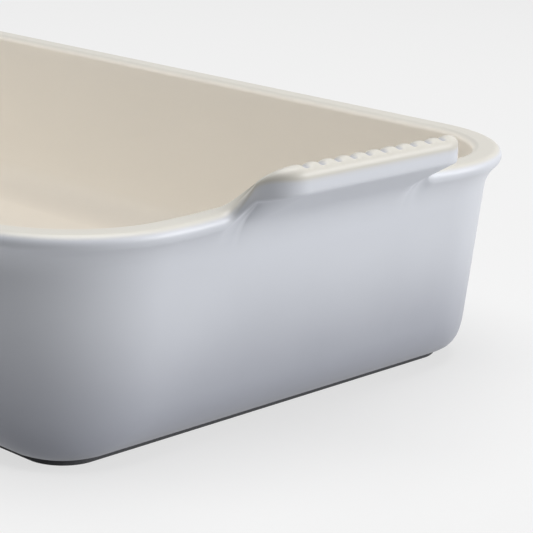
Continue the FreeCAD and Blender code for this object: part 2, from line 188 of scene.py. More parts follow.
class DishSizes(bpy.types.PropertyGroup):
    """Sizes of the tub, measured on the outside of its glaze."""

    rim_length: size("Rim length", "Length over the lip, without the handles", RIM_LENGTH)
    rim_width: size("Rim width", "Width over the lip", RIM_WIDTH)
    rim_height: size("Rim height", "Height of the lip above the table", RIM_HEIGHT)
    corner_radius: size("Corner radius", "Radius of the lip's corners in plan", 48.5 * MM)
    wall_thickness: size("Wall thickness", "Thickness of the wall with both coats", 6 * MM)
    wall_lean: angle("Wall lean", "Outward lean of the walls", 5.7)
    lip_overhang: size("Lip overhang", "Reach of the lip past the line of the wall", 4 * MM)
    lip_radius: size("Lip radius", "Rounding of the lip's outer edge", 2.8 * MM)
    lip_edge_radius: size("Lip inner radius", "Rounding of the lip's inner edge", 2.5 * MM)
    cove_radius: size("Cove radius", "Hollow under the lip", 14 * MM)
    base_radius: size("Base radius", "Rounding from the wall to the base", 19 * MM)
    well_radius: size("Well radius", "Rounding from the inner wall to the floor", 15 * MM)
    floor_height: size("Floor height", "Height of the inner floor above the table", 8.5 * MM)
    foot_height: size("Foot height", "Height of the bare foot", 1.2 * MM)
    foot_inset: size("Foot inset", "Distance from the wall's line at the table to the foot", 12.5 * MM)
    foot_width: size("Foot width", "Width of the ring that the dish stands on", 7 * MM)
    foot_pull: size("Foot pull", "How much tighter the foot's corners are than the wall's", 11 * MM)
    bare_margin: size("Bare margin", "Unglazed strip beside the foot", 1.5 * MM)
    glaze_thickness: size("Glaze thickness", "Thickness of both glaze coats", 0.5 * MM)


class WingSizes(bpy.types.PropertyGroup):
    """Sizes of the wing handles."""

    reach: size("Reach", "How far the wing stands out past the lip", 18.5 * MM)
    crest_height: size("Crest height", "Height of the crest above the table", 92.4 * MM)
    crest_radius: size("Crest radius", "Rounding of the crest", 3.5 * MM)
    side_radius: size("Side radius", "Rounding of the upper edge at the wing's ends", 1.5 * MM)
    edge_height: size("Edge height", "Height of the lower edge of the upright face", 84 * MM)
    edge_radius: size("Edge radius", "Rounding of the lower edge", 1.5 * MM)
    underside_slope: angle("Underside slope", "Rise of the wing's underside", 31)
    side_slope: angle("Side slope", "Rise of the lower edge at the wing's ends", 16)
    root_half_width: size("Root half width", "Half of the width where the wing leaves the lip", 43 * MM)
    end_half_width: size("End half width", "Half of the width at the crest", 43 * MM)
    root_radius: size("Root radius", "Hollow between the lip and the wing's end, in plan", 7 * MM)
    fairing: size("Fairing", "Length of lip that rises beside the wing", 18 * MM)
    corner_radius: size("Corner radius", "Rounding of the wing's outer corners in plan", 11 * MM)
    root_cove: size("Root cove", "Length that the hollow under the wing takes up", 9 * MM)
    root_rise: size("Root rise", "Distance past the lip in which it goes over into the wing", 8 * MM)
    ridge_pitch: size("Ridge pitch", "Distance from one grip ridge to the next", 6.9 * MM)
    ridge_depth: size("Ridge depth", "Depth of the valley between two ridges", 1.0 * MM)
    valley_width: size("Valley width", "Half width of the valley between two ridges", 1.5 * MM)
    ridge_length: size("Ridge length", "Length of the ridges down the slope from the crest", 15 * MM)
    valley_count: bpy.props.IntProperty(
        name="Valleys", description="Valleys between the ridges", default=10, min=0
    )


class GlazeColours(bpy.types.PropertyGroup):
    """Colours of the coats and the clay."""

    upper: tint("Upper blue grey", "Outer glaze under the lip", "C8CBD2")
    # Lower blue grey: darker as painted shade where the base curves under towards the floor
    lower: tint("Lower blue grey", "Outer glaze at the base, where it runs thicker", "9B9EA8")
    edge: tint("Edge white", "Glaze thinned over the lip and crests", "C1BEB6")
    cream: tint("Cream", "Glaze inside the dish", "F5F0E7")
    # Pooled cream: the inner floor darker, partly glaze pooled there and partly painted shade in the well
    pool: tint("Pooled cream", "Glaze on the inner floor, where it pools deeper", "C7C0B5")
    # Clay: dark slate grey as painted shade for the shadow gap under the base, where the bare foot shows
    clay: tint("Clay", "Bare fired clay at the foot", "4E4F52")


class StudioSettings(bpy.types.PropertyGroup):
    """Place and lens of the camera."""

    target: bpy.props.FloatVectorProperty(
        name="Target", description="Point in the middle of the view", default=(0.13792, 0.01649, 0.03994),
        subtype="XYZ", unit="LENGTH"
    )
    azimuth: angle("Azimuth", "Camera's turn from the front", 43.92)
    elevation: angle("Elevation", "Camera's height angle", 15.51)
    roll: angle("Roll", "Camera's turn about its own axis", 1.83)
    distance: size("Distance", "Distance from the camera to the target", 0.67242)
    lens: bpy.props.FloatProperty(name="Lens", description="Focal length in millimetres", default=135.87)


def wall_place(dish, height):
    """Outward place of the outer wall's line at a height, from the lip's outermost line."""
    return -dish.lip_overhang - (dish.rim_height - height) * math.tan(dish.wall_lean)


def inner_place(dish, height):
    """Outward place of the inner wall's line at a height."""
    return wall_place(dish, height) - dish.wall_thickness / math.cos(dish.wall_lean)


def arc(centre, radius, start, end, count):
    """Points on an arc in the section, with angles from the outward direction."""
    angles = np.linspace(start, end, count)
    return np.column_stack([centre[0] + radius * np.cos(angles), centre[1] + radius * np.sin(angles)])


def lengths(points):
    """Distance of each point along a line of points."""
    steps = np.linalg.norm(np.diff(points, axis=0), axis=1)
    return np.concatenate([[0], np.cumsum(steps)])


def spread(points, places):
    """Points at distances along a line of points."""
    along = lengths(points)
    return np.column_stack([np.interp(places, along, points[:, axis]) for axis in range(points.shape[1])])


def evenly(points, count):
    """Points at even distances along a line of points."""
    return spread(points, np.linspace(0, lengths(points)[-1], count))


def smooth(value):
    """Smooth step of a value from 0 to 1."""
    share = np.clip(value, 0, 1)
    return share * share * (3 - 2 * share)


def seam_place(dish):
    """Outward place and height of the seam between the two coats, on top of the lip."""
    centre = inner_place(dish, dish.rim_height - dish.lip_edge_radius)
    return np.array([centre + dish.lip_edge_radius / math.cos(dish.wall_lean), dish.rim_height])


def cove_centre(dish, nose):
    """Centre of the hollow that touches the wall's line and the lip's rounding."""
    along = np.array([math.sin(dish.wall_lean), math.cos(dish.wall_lean)])
    outward = np.array([math.cos(dish.wall_lean), -math.sin(dish.wall_lean)])
    start = np.array([wall_place(dish, 0), 0]) + dish.cove_radius * outward
    offset = start - nose
    half = along @ offset
    rest = offset @ offset - (dish.cove_radius + dish.lip_radius) ** 2
    return start + along * (-half - math.sqrt(half * half - rest))


def branch_height(dish):
    """Height on the wall where the hollows under the lip and the wings begin."""
    return dish.rim_height - dish.cove_radius - 2 * dish.lip_radius


def lower_rows(dish):
    """Outer section from the bare margin up to the branch height."""
    lean = dish.wall_lean
    height = dish.foot_height + dish.base_radius
    centre = np.array([wall_place(dish, height) - dish.base_radius / math.cos(lean), height])
    edge = wall_place(dish, 0) - dish.foot_inset + dish.bare_margin
    start = math.acos((edge - centre[0]) / dish.base_radius)
    base = arc(centre, dish.base_radius, -start, -lean, BASE_ROWS)
    top = np.array([wall_place(dish, branch_height(dish)), branch_height(dish)])
    wall = np.linspace(base[-1], top, WALL_ROWS)
    return np.vstack([base, wall[1:]])


def lip_rows(dish):
    """Outer section from the branch height over the lip to the seam."""
    nose = np.array([-dish.lip_radius, dish.rim_height - dish.lip_radius])
    cove = cove_centre(dish, nose)
    toward = nose - cove
    meet = math.atan2(toward[1], toward[0])
    start = np.array([[wall_place(dish, branch_height(dish)), branch_height(dish)]])
    hollow = arc(cove, dish.cove_radius, math.pi - dish.wall_lean, meet, SLOPE_ROWS)
    under = evenly(np.vstack([start, hollow]), UNDER_ROWS + 1)
    rounding = arc(nose, dish.lip_radius, meet - math.pi, math.pi / 2, FINER * SLOPE_ROWS)
    count = LOWER_EDGE_ROWS + FACE_ROWS + CREST_ROWS + SLOPE_ROWS
    over = evenly(np.vstack([rounding, seam_place(dish)[None]]), count + 1)
    return np.vstack([under[1:], over[1:]])


def rounded_path(corners, radii, counts):
    """Points, normals and part numbers along a plan line whose corners are rounded."""
    corners = np.array(corners)
    ends = [corners[0]]
    parts = []
    for place, radius in enumerate(radii, 1):
        here = corners[place]
        back = corners[place - 1] - here
        ahead = corners[place + 1] - here
        back /= np.linalg.norm(back)
        ahead /= np.linalg.norm(ahead)
        half = math.acos(np.clip(back @ ahead, -1, 1)) / 2
        run = radius / math.tan(half)
        middle = here + (back + ahead) / np.linalg.norm(back + ahead) * radius / math.sin(half)
        parts.append(("line", ends[-1], here + back * run))
        parts.append(("arc", middle, here + back * run, here + ahead * run))
        ends.append(here + ahead * run)
    parts.append(("line", ends[-1], corners[-1]))
    points, normals, numbers = [], [], []
    for number, (part, count) in enumerate(zip(parts, counts)):
        shares = np.linspace(0, 1, count, endpoint=number == len(parts) - 1)
        if part[0] == "line":
            line = part[2] - part[1]
            found = part[1] + shares[:, None] * line
            across = np.array([-line[1], line[0]]) / np.linalg.norm(line)
            facing = np.repeat(across[None], count, axis=0)
        else:
            first = part[2] - part[1]
            last = part[3] - part[1]
            turn = math.atan2(first[0] * last[1] - first[1] * last[0], first @ last)
            angles = math.atan2(first[1], first[0]) + turn * shares
            spoke = np.column_stack([np.cos(angles), np.sin(angles)])
            found = part[1] + spoke * np.linalg.norm(first)
            facing = -spoke * math.copysign(1, turn)
        points.append(found)
        normals.append(facing)
        numbers.append(np.full(count, number) + shares)
    return np.vstack(points), np.vstack(normals), np.concatenate(numbers)


def half_wing(dish, wing):
    """Plan line of a wing's edge from the dish's corner to the wing's middle.

    Gives each station's edge point and facing as (outward, across), its anchor on the wall
    and its share of wing.
    """
    straight = dish.rim_width / 2 - dish.corner_radius
    corners = [(0, straight), (0, wing.root_half_width), (wing.reach, wing.end_half_width), (wing.reach, 0)]
    front = round(STATIONS_PER_RIDGE * wing.end_half_width / wing.ridge_pitch)
    counts = [FAIRING_STATIONS, ROOT_STATIONS, WING_SIDE_STATIONS, WING_CORNER_STATIONS, front]
    points, facings, numbers = rounded_path(corners, [wing.root_radius, wing.corner_radius], counts)
    knots = [np.interp(part, numbers, points[:, 1]) for part in range(len(counts) + 1)]
    knots[2] = wing.end_half_width - wing.corner_radius / 4
    knots[3] = wing.end_half_width - wing.corner_radius / 2
    anchors = np.interp(numbers, range(len(knots)), knots)
    shares = smooth(points[:, 0] / wing.root_rise)
    return points, facings, anchors, shares


def top_line(dish, wing):
    """Slope of the wing's top, which touches the roundings of lip and crest, and its point on the lip."""
    lip = seam_place(dish) - np.array([0, dish.lip_edge_radius])
    crest = np.array([wing.reach - wing.crest_radius, wing.crest_height - wing.crest_radius])
    apart = crest - lip
    slope = math.atan2(apart[1], apart[0])
    slope -= math.asin((dish.lip_edge_radius - wing.crest_radius) / np.linalg.norm(apart))
    touch = lip + dish.lip_edge_radius * np.array([-math.sin(slope), math.cos(slope)])
    return slope, touch


def raised_seam(dish, wing):
    """Place and height of the seam where it runs over a wing's root."""
    slope, touch = top_line(dish, wing)
    place = seam_place(dish)[0]
    return np.array([place, touch[1] + (place - touch[0]) * math.tan(slope)])


def fairing(wing, anchors):
    """Share of the raised seam's height across the end: full on the wing, fading out along the lip."""
    return smooth((wing.root_half_width - anchors) / wing.fairing + 1)


def edge_rows(dish, wing, points, facings):
    """Rows round a wing's edge, from its underside to its top, with their crest angle and whiteness."""
    slope, touch = top_line(dish, wing)
    steep = math.tan(slope) * facings[:, :1]
    gentle = math.tan(wing.underside_slope) * facings[:, :1]
    top = touch[1] + (points[:, :1] - touch[0]) * math.tan(slope)
    bottom = wing.edge_height + (points[:, :1] - wing.reach) * math.tan(wing.side_slope)
    ahead = facings[:, :1] * smooth(points[:, :1] / wing.reach)
    round_over = wing.side_radius + (wing.crest_radius - wing.side_radius) * ahead
    high = top - round_over * (steep + np.sqrt(1 + steep ** 2))
    low = bottom - wing.edge_radius * (gentle - np.sqrt(1 + gentle ** 2))
    low = np.minimum(low, high)
    crest = np.linspace(0, 1, CREST_ROWS) * (math.pi / 2 + np.arctan(steep))
    under = np.linspace(1, 0, LOWER_EDGE_ROWS) * (np.arctan(gentle) - math.pi / 2)
    face = low + np.linspace(0, 1, FACE_ROWS + 2)[1:-1] * (high - low)
    out = np.hstack([wing.edge_radius * (np.cos(under) - 1), 0 * face, round_over * (np.cos(crest) - 1)])
    up = np.hstack([low + wing.edge_radius * np.sin(under), face, high + round_over * np.sin(crest)])
    forward = points[:, :1] + facings[:, :1] * out
    across = points[:, 1:] + facings[:, 1:] * out
    return np.stack([forward, across, up], axis=-1), crest, smooth((up - high) / WHITE_FADE + 1)


def lines(first, last, shares):
    """Rows between two points of each station, at shares of the way."""
    return first[:, None] + np.asarray(shares)[None, :, None] * (last - first)[:, None]


def under_places(dish, run):
    """Distances of the rows under a wing: as under the plain lip at first, wider towards the edge."""
    step = np.linalg.norm(np.subtract(*lip_rows(dish)[:2]))
    shares = np.arange(1, UNDER_ROWS + 1) / (UNDER_ROWS + 1)
    even = step * (UNDER_ROWS + 1)
    return even * shares + (run - even) * shares ** 3


def columns(place, anchors):
    """A point of the section (outward, up) at every station's anchor."""
    return np.column_stack([0 * anchors + place[0], anchors, 0 * anchors + place[1]])


def wing_rows(dish, wing, points, facings, anchors):
    """Rows of each station over a wing as (outward, across, up), with their grip and thin-glaze shares."""
    edge, crest, white = edge_rows(dish, wing, points, facings)
    gentle = math.tan(wing.underside_slope)
    lean = math.tan(dish.wall_lean)
    start = wing.edge_height - wing.reach * gentle
    place = (wall_place(dish, 0) + lean * start) / (1 - lean * gentle)
    bend = columns((place, start + place * gentle), anchors)
    branch = columns((wall_place(dish, branch_height(dish)), branch_height(dish)), anchors)
    reach = np.linalg.norm(edge[:, 0] - bend, axis=1, keepdims=True)
    drop = np.linalg.norm(branch - bend, axis=1, keepdims=True)
    first = bend + (branch - bend) * np.minimum(wing.root_cove / drop, 1)
    last = bend + (edge[:, 0] - bend) * np.minimum(wing.root_cove / reach, COVE_LIMIT)
    shares = np.linspace(0, 1, COVE_POINTS)
    inner = lines(first, bend, shares)
    cove = inner + shares[None, :, None] * (lines(bend, last, shares) - inner)
    paths = np.concatenate([branch[:, None], cove, edge[:, :1]], axis=1)
    under = np.stack([spread(line, under_places(dish, lengths(line)[-1])) for line in paths])
    root = columns(raised_seam(dish, wing), anchors)
    slope = lines(edge[:, -1], root, np.linspace(0, 1, SLOPE_ROWS + 1)[1:])

    run = np.linalg.norm(slope - edge[:, -1:], axis=2)
    ridged = smooth((wing.ridge_length - run) / (wing.ridge_length * RIDGE_FADE))
    plain = np.zeros((len(anchors), UNDER_ROWS))
    below = np.zeros((len(anchors), LOWER_EDGE_ROWS + FACE_ROWS))
    grip = np.hstack([plain, below, smooth((crest - GRIP_START) / (GRIP_FULL - GRIP_START)), ridged])
    return np.concatenate([under, edge, slope], axis=1), grip, np.hstack([plain, white, 0 * run + 1])


def plain_stations(dish):
    """Plan points and facings from the front corner along a long side to the rear, and each corner's pull."""
    points, facings, pulls = [], [], []
    reach = dish.rim_length / 2 - dish.corner_radius
    for side, start in ((1, 0), (-1, math.pi / 2)):
        angles = start + np.linspace(0, math.pi / 2, CORNER_STATIONS + 1)[1:-1]
        middle = np.array([side * reach, dish.rim_width / 2 - dish.corner_radius])
        facing = np.column_stack([np.cos(angles), np.sin(angles)])
        points.append(middle + dish.corner_radius * facing)
        facings.append(facing)
        pulls.append(np.array([side, 1]) - facing)
    along = np.linspace(reach, -reach, SIDE_STATIONS)
    points.insert(1, np.column_stack([along, 0 * along + dish.rim_width / 2]))
    facings.insert(1, np.column_stack([0 * along, 0 * along + 1]))
    pulls.insert(1, np.zeros((SIDE_STATIONS, 2)))
    return np.vstack(points), np.vstack(facings), np.vstack(pulls)


def swept(dish, section, tighter):
    """A section (outward, up) carried round a corner, a long side and a corner, as tight as each row asks."""
    points, facings, pulls = plain_stations(dish)
    plan = points[:, None] + facings[:, None] * section[None, :, :1]
    plan = plan + pulls[:, None] * tighter[None, :, None]
    height = np.broadcast_to(section[None, :, 1:], plan.shape[:2] + (1,))
    return np.concatenate([plan, height], axis=2)


def carried(sections, anchors):
    """Sections (outward, up) at the stations' anchors, as (outward, across, up)."""
    sections = np.broadcast_to(sections, (len(anchors),) + sections.shape[-2:])
    across = np.broadcast_to(anchors[:, None, None], sections.shape[:2] + (1,))
    return np.concatenate([sections[:, :, :1], across, sections[:, :, 1:]], axis=2)


def across_end(dish, half):
    """Rows across the whole front end, from the half that stops in its middle."""
    front = half + np.array([dish.rim_length / 2, 0, 0])
    return np.concatenate([front * np.array([1, -1, 1]), front[-2::-1]])


def whole_ring(dish, half, rest):
    """Both ends and both long sides, from half the front end and one long side."""
    quarter = np.concatenate([across_end(dish, half), rest])
    return np.concatenate([quarter, quarter * np.array([-1, -1, 1])])


def ring_shares(half, rest):
    """Shares of the whole ring, from those of half the front end and of one long side."""
    quarter = np.concatenate([half, half[-2::-1], rest])
    return np.concatenate([quarter, quarter])


def blend(plain, other, shares):
    """Rows that go over from plain ones to others by each station's share."""
    return plain + shares.reshape((-1,) + (1,) * (other.ndim - 1)) * (other - plain)


def foot_pull(dish, count):
    """How much each outer row tightens the corners: fully at the foot, not at all on the wall."""
    fade = 1 - smooth(np.arange(count) / (BASE_ROWS - 1))
    return dish.foot_pull * fade


def risen(dish, wing, rows):
    """Rows raised with the seam beside a wing, less and less down the hollow under the lip."""
    share = smooth((rows[:, 1] - branch_height(dish)) / (dish.rim_height - branch_height(dish)))
    return rows + share[:, None] * (raised_seam(dish, wing) - seam_place(dish))


def half_coat(dish, wing):
    """Half the front end of the outer coat, with its grip and thin-glaze shares."""
    lower, lip = lower_rows(dish), lip_rows(dish)
    points, facings, anchors, shares = half_wing(dish, wing)
    wings, grip, white = wing_rows(dish, wing, points, facings, anchors)
    plain = carried(blend(lip[None], risen(dish, wing, lip)[None], fairing(wing, anchors)), anchors)
    upper = blend(plain, wings, shares)
    below = np.zeros((len(anchors), len(lower)))
    grip = np.hstack([below, shares[:, None] * grip])
    thin = np.hstack([below, blend(lip_white(dish, lip)[None], white, shares)])
    return np.concatenate([carried(lower, anchors), upper], axis=1), grip, thin


def lip_white(dish, lip):
    """Thin-glaze share of the lip's rows: white on top of the lip, none under it."""
    return smooth((lip[:, 1] - dish.rim_height) / WHITE_FADE + LIP_FADES)


def outer_surface(dish, wing):
    """Points of the outer coat by station and row, with its grip and thin-glaze shares."""
    half, grip, thin = half_coat(dish, wing)
    section = np.vstack([lower_rows(dish), lip_rows(dish)])
    rest = swept(dish, section, foot_pull(dish, len(section)))
    white = lip_white(dish, section) * (section[:, 1] > branch_height(dish))
    plain = np.repeat(white[None], len(rest), axis=0)
    return whole_ring(dish, half, rest), ring_shares(grip, 0 * plain), ring_shares(thin, plain)


def liner_rows(dish, wing):
    """Inner section from the seam down to the edge of the floor, plain and where a wing raises the seam."""
    lean = dish.wall_lean
    centre = seam_place(dish) - np.array([0, dish.lip_edge_radius])
    lip = arc(centre, dish.lip_edge_radius, math.pi / 2, math.pi - lean, LIP_ROWS)
    slope = top_line(dish, wing)[0]
    rounding = arc(centre, dish.lip_edge_radius, math.pi / 2 + slope, math.pi - lean, FINER * LIP_ROWS)
    height = dish.floor_height + dish.well_radius
    middle = np.array([inner_place(dish, height) - dish.well_radius / math.cos(lean), height])
    well = arc(middle, dish.well_radius, -lean, -math.pi / 2, WELL_ROWS)
    wall = np.linspace(lip[-1], well[0], LINER_WALL_ROWS)
    section = np.vstack([lip, wall[1:-1], well])
    raised = section.copy()
    raised[:LIP_ROWS] = evenly(np.vstack([raised_seam(dish, wing)[None], rounding]), LIP_ROWS)
    return section, raised


def liner_surface(dish, wing):
    """Points of the liner by station and row, from the seam to the floor's edge, and its thin-glaze share."""
    section, raised = liner_rows(dish, wing)
    anchors = half_wing(dish, wing)[2]
    half = carried(blend(section[None], raised[None], fairing(wing, anchors)), anchors)
    surface = whole_ring(dish, half, swept(dish, section, 0 * section[:, 0]))
    thin = smooth((section[:, 1] - dish.rim_height) / WHITE_FADE + 1)
    return surface, np.repeat(thin[None], len(surface), axis=0)


def sunk(section, depth):
    """A section (outward, up) moved into the clay by a depth."""
    run = np.gradient(section, axis=0)
    facing = np.column_stack([run[:, 1], -run[:, 0]])
    return section - depth * facing / np.linalg.norm(facing, axis=1, keepdims=True)


def foot_rows(dish, lowest):
    """Section of the bare foot, from the recess under the floor to the glazed base above it."""
    outer = wall_place(dish, 0) - dish.foot_inset
    inner = outer - dish.foot_width
    ease = dish.foot_height / 4
    rows = [(inner, dish.foot_height), (inner, ease), (inner + ease, 0), (outer - ease, 0), (outer, ease)]
    return np.array([*rows, (outer, lowest)])


def tub_rows(dish, wing):
    """Sections of the clay tub, plain, raised and cut back for a wing, and the row where their lip begins."""
    depth = dish.glaze_thickness + CLEARANCE
    lower, lip = lower_rows(dish), lip_rows(dish)
    section = liner_rows(dish, wing)[0]
    outer = sunk(np.vstack([lower, lip]), depth)
    inner = sunk(section, depth)
    foot = foot_rows(dish, outer[0, 1])
    plain = np.vstack([foot, outer, inner])
    cut = outer.copy()
    chord = np.interp(cut[:, 1], outer[[len(lower) - 1, -1], 1], outer[[len(lower) - 1, -1], 0])
    cut[len(lower):, 0] = (chord + LIP_STUB * (cut[:, 0] - chord))[len(lower):]
    raised = np.vstack([foot, risen(dish, wing, outer), inner])
    return plain, raised, np.vstack([foot, cut, inner]), len(foot) + len(lower)


def tub_surface(dish, wing):
    """Points of the clay tub by station and row."""
    plain, raised, cut, start = tub_rows(dish, wing)
    anchors, shares = half_wing(dish, wing)[2:]
    beside = blend(plain[None], raised[None], fairing(wing, anchors))
    half = carried(blend(beside, cut[None], smooth(shares / CUT_BACK)), anchors)
    foot = len(foot_rows(dish, 0))
    base = foot_pull(dish, start - foot)
    pull = np.concatenate([np.full(foot, dish.foot_pull), base, 0 * plain[start:, 0]])
    return whole_ring(dish, half, swept(dish, plain, pull))


def core_surface(dish, wing):
    """Points of the front handle's clay by station and round its section, between the coat and the tub."""
    half, grip = half_coat(dish, wing)[:2]
    anchors, shares = half_wing(dish, wing)[2:]
    cut, start = tub_rows(dish, wing)[2:]
    lip = len(lip_rows(dish))
    front = across_end(dish, half)[:, -lip:]
    ridges = wing.ridge_depth * np.concatenate([grip, grip[-2::-1]])[:, -lip:]
    depth = dish.glaze_thickness + CLEARANCE + ridges
    facing = np.cross(np.gradient(front, axis=0), np.gradient(front, axis=1))
    facing /= np.linalg.norm(facing, axis=2, keepdims=True)
    slope = top_line(dish, wing)[0]
    facing[:, -SLOPE_ROWS:] = (-math.sin(slope), 0, math.cos(slope))
    outside = front - depth[:, :, None] * facing
    behind = carried(cut, anchors)[:, start:start + lip]
    behind = across_end(dish, behind) + np.array([CLEARANCE, 0, 0])
    taper = (np.concatenate([shares, shares[-2::-1]]) - CORE_START) / (1 - CORE_START)
    outside = blend(behind, outside, taper)
    return np.concatenate([outside, behind[:, ::-1]], axis=1)[taper > 0]


def ring_mesh(name, surface, shares=None, first=False, last=False):
    """A mesh from points by station and row, closed round the plan and, where asked, over an end row."""
    corners = np.arange(surface.shape[0] * surface.shape[1]).reshape(surface.shape[:2])
    faces = quads(corners, np.roll(corners, -1, axis=0))
    if first:
        faces.append(corners[::-1, 0].tolist())
    if last:
        faces.append(corners[:, -1].tolist())
    return new_mesh(name, surface, faces, shares or {})


def tube_mesh(name, surface):
    """A mesh from points by station and round a section, closed by its first and last section."""
    corners = np.arange(surface.shape[0] * surface.shape[1]).reshape(surface.shape[:2])
    closed = np.hstack([corners, corners[:, :1]])
    faces = quads(closed[:-1], closed[1:])
    faces.append(corners[0].tolist())
    faces.append(corners[-1, ::-1].tolist())
    return new_mesh(name, surface, faces, {})


def quads(here, ahead):
    """Faces between the points of each station and those of the one ahead."""
    corners = np.stack([here[:, :-1], ahead[:, :-1], ahead[:, 1:], here[:, 1:]], axis=-1)
    return corners.reshape(-1, 4).tolist()


def new_mesh(name, surface, faces, shares):
    """A mesh with named shares on its points."""
    mesh = bpy.data.meshes.new(name)
    mesh.from_pydata(surface.reshape(-1, 3).tolist(), [], faces)
    for label, values in shares.items():
        carrier = mesh.attributes.new(label, "FLOAT", "POINT")
        carrier.data.foreach_set("value", values.reshape(-1).astype(np.float32))
    mesh.update()
    return mesh


def add(tree, kind, inputs=None, **settings):
    """A node with its settings, and its inputs set to values or linked to other nodes' outputs."""
    made = tree.nodes.new(kind)
    for name, value in settings.items():
        setattr(made, name, value)
    for key, value in (inputs or {}).items():
        if isinstance(value, bpy.types.NodeSocket):
            tree.links.new(value, made.inputs[key])
        else:
            made.inputs[key].default_value = value
    return made


def maths(tree, operation, *values):
    """The result of a sum on values or other nodes' outputs."""
    return add(tree, "ShaderNodeMath", dict(enumerate(values)), operation=operation).outputs[0]


def ranged(tree, value, start=(0, 1), end=(0, 1), kind="LINEAR"):
    """A value carried from one range to another."""
    inputs = {0: value, 1: start[0], 2: start[1], 3: end[0], 4: end[1]}
    return add(tree, "ShaderNodeMapRange", inputs, interpolation_type=kind).outputs[0]


def mixed(tree, share, *colours):
    """A colour between two, which are values or other nodes' outputs."""
    first, second = (item if isinstance(item, bpy.types.NodeSocket) else (*item, 1) for item in colours)
    return add(tree, "ShaderNodeMix", {0: share, 6: first, 7: second}, data_type="RGBA").outputs[2]


def noise(tree, place, patch, detail):
    """Soft noise whose patches are about a given length across."""
    inputs = {"Vector": place, "Scale": 1 / patch, "Detail": detail}
    return add(tree, "ShaderNodeTexNoise", inputs).outputs[0]


def bump(tree, shader, height, strength, distance):
    """Gives a shader's surface small bumps."""
    inputs = {"Height": height, "Strength": strength, "Distance": distance}
    tree.links.new(add(tree, "ShaderNodeBump", inputs).outputs[0], shader.inputs["Normal"])


def share_of(tree, name):
    """A share that the mesh's points carry."""
    return add(tree, "ShaderNodeAttribute", attribute_name=name).outputs["Fac"]


def ridge_tree():
    """Geometry nodes that press evenly spaced valleys into the masked grip and give the coat its material."""
    tree = bpy.data.node_groups.new("Grip ridges", "GeometryNodeTree")
    sockets = [
        ("Geometry", "NodeSocketGeometry"), ("Pitch", "NodeSocketFloat"), ("Depth", "NodeSocketFloat"),
        ("Valley width", "NodeSocketFloat"), ("Valleys", "NodeSocketInt"), ("Glaze", "NodeSocketMaterial"),
    ]
    for name, kind in sockets:
        tree.interface.new_socket(name, in_out="INPUT", socket_type=kind)
    tree.interface.new_socket("Geometry", in_out="OUTPUT", socket_type="NodeSocketGeometry")
    start = add(tree, "NodeGroupInput").outputs
    place = add(tree, "GeometryNodeInputPosition").outputs[0]
    across = add(tree, "ShaderNodeSeparateXYZ", {0: place}).outputs["Y"]
    turns = maths(tree, "DIVIDE", across, start["Pitch"])
    off = maths(tree, "SUBTRACT", maths(tree, "FRACT", turns), 0.5)
    ratio = maths(tree, "DIVIDE", maths(tree, "MULTIPLY", off, start["Pitch"]), start["Valley width"])
    square = maths(tree, "MULTIPLY", ratio, ratio)
    valley = maths(tree, "EXPONENT", maths(tree, "MULTIPLY", square, -1.0))
    half = maths(tree, "MULTIPLY", start["Valleys"], 0.5)
    inside = maths(tree, "LESS_THAN", maths(tree, "ABSOLUTE", turns), half)
    grip = add(tree, "GeometryNodeInputNamedAttribute", {"Name": GRIP}, data_type="FLOAT").outputs[0]
    # Valley share: presses the valley in and marks it for painted shade and pooled glaze
    pooled_and_shaded = maths(tree, "MULTIPLY", maths(tree, "MULTIPLY", valley, grip), inside)
    inward = maths(tree, "MULTIPLY", maths(tree, "MULTIPLY", pooled_and_shaded, start["Depth"]), -1.0)
    facing = add(tree, "GeometryNodeInputNormal").outputs[0]
    move = add(tree, "ShaderNodeVectorMath", {0: facing, "Scale": inward}, operation="SCALE").outputs[0]
    labels = {"Geometry": start["Geometry"], "Name": POOLED_VALLEY_SHADE, "Value": pooled_and_shaded}
    marked = add(tree, "GeometryNodeStoreNamedAttribute", labels).outputs[0]
    pressed = add(tree, "GeometryNodeSetPosition", {"Geometry": marked, "Offset": move}).outputs[0]
    real = add(tree, "GeometryNodeRealizeInstances", {0: pressed}).outputs[0]
    coated = {"Geometry": real, "Material": start["Glaze"]}
    add(tree, "NodeGroupOutput", {0: add(tree, "GeometryNodeSetMaterial", coated).outputs[0]})
    return tree


def finished(piece, slot, *nodes):
    """Applies a piece's modifiers, smooths it up to its sharp rims and ties it to the frame."""
    graph = bpy.context.evaluated_depsgraph_get()
    mesh = bpy.data.meshes.new_from_object(piece.evaluated_get(graph))
    piece.modifiers.clear()
    piece.data = mesh
    mesh.name = piece.name
    mesh.shade_smooth()
    mesh.set_sharp_from_angle(angle=SHARP_ANGLE)
    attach(piece, BODY)
    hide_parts(*nodes)


def thickened(piece, thickness):
    """Gives a coat its thickness, under its outer face."""
    coat = piece.modifiers.new("Coat thickness", "SOLIDIFY")
    coat.thickness = thickness
    coat.offset = -1


def placed(name, mesh):
    """An object for a mesh, at the origin."""
    piece = bpy.data.objects.new(name, mesh)
    bpy.context.scene.collection.objects.link(piece)
    return piece


def new_material(name):
    """A material's tree with a Principled shader, and that shader."""
    material = bpy.data.materials.new(name)
    material.use_nodes = True
    return material, material.node_tree, material.node_tree.nodes["Principled BSDF"]


def satin(tree, shader, colour, cloud, ripple):
    """Gives a shader the colour and the slightly uneven gloss of a fired satin glaze, over a fine ripple."""
    tree.links.new(colour, shader.inputs["Base Color"])
    tree.links.new(ranged(tree, cloud, end=SATIN_ROUGHNESS), shader.inputs["Roughness"])
    bump(tree, shader, ripple, RIPPLE_STRENGTH, RIPPLE_HEIGHT)
    shader.inputs["IOR"].default_value = GLAZE_IOR


